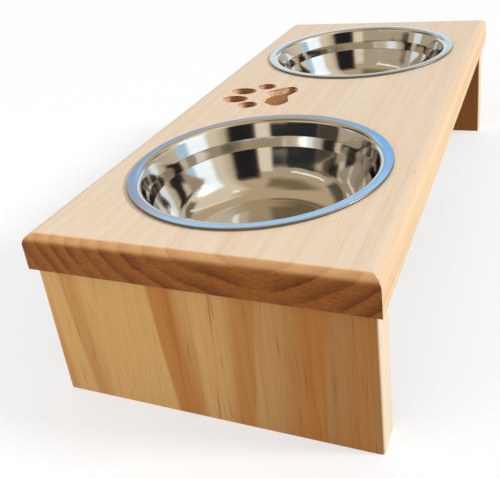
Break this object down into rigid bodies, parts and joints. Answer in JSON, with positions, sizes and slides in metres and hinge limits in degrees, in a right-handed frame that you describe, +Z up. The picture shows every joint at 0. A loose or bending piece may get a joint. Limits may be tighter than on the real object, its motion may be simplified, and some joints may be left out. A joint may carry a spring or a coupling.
{
  "type": "raised dog feeder",
  "caption": "Low pine bench with rounded edges on panel legs, with round holes that hold lift-out steel feeding bowls by their rims, and a paw recess in the top.",
  "frame": {"origin": "on the floor, under the middle of the board", "axes": "+X along the board from the left bowl to the right bowl, +Y from the front to the back, where the paw's toes point, +Z up"},
  "size_m": [0.45, 0.195, 0.1076],
  "materials": {
    "pine": "planed and sanded pine, clear satin",
    "beech": "raw fluted beech",
    "polished_steel": "mirror-polished stainless steel"
  },
  "bodies": {
    "stand": {"top_board": "pine", "left_leg": "pine", "right_leg": "pine", "left_dowel_front": "beech", "left_dowel_middle": "beech", "left_dowel_back": "beech", "right_dowel_front": "beech", "right_dowel_middle": "beech", "right_dowel_back": "beech"},
    "left_bowl": {"left_bowl": "polished_steel"},
    "right_bowl": {"right_bowl": "polished_steel"}
  },
  "joints": [
    {"name": "left_bowl_lift", "type": "slide", "parent": "stand", "child": "left_bowl", "axis": [0, 0, 1], "range_m": [0, 0.06]},
    {"name": "right_bowl_lift", "type": "slide", "parent": "stand", "child": "right_bowl", "axis": [0, 0, 1], "range_m": [0, 0.06]}
  ]
}
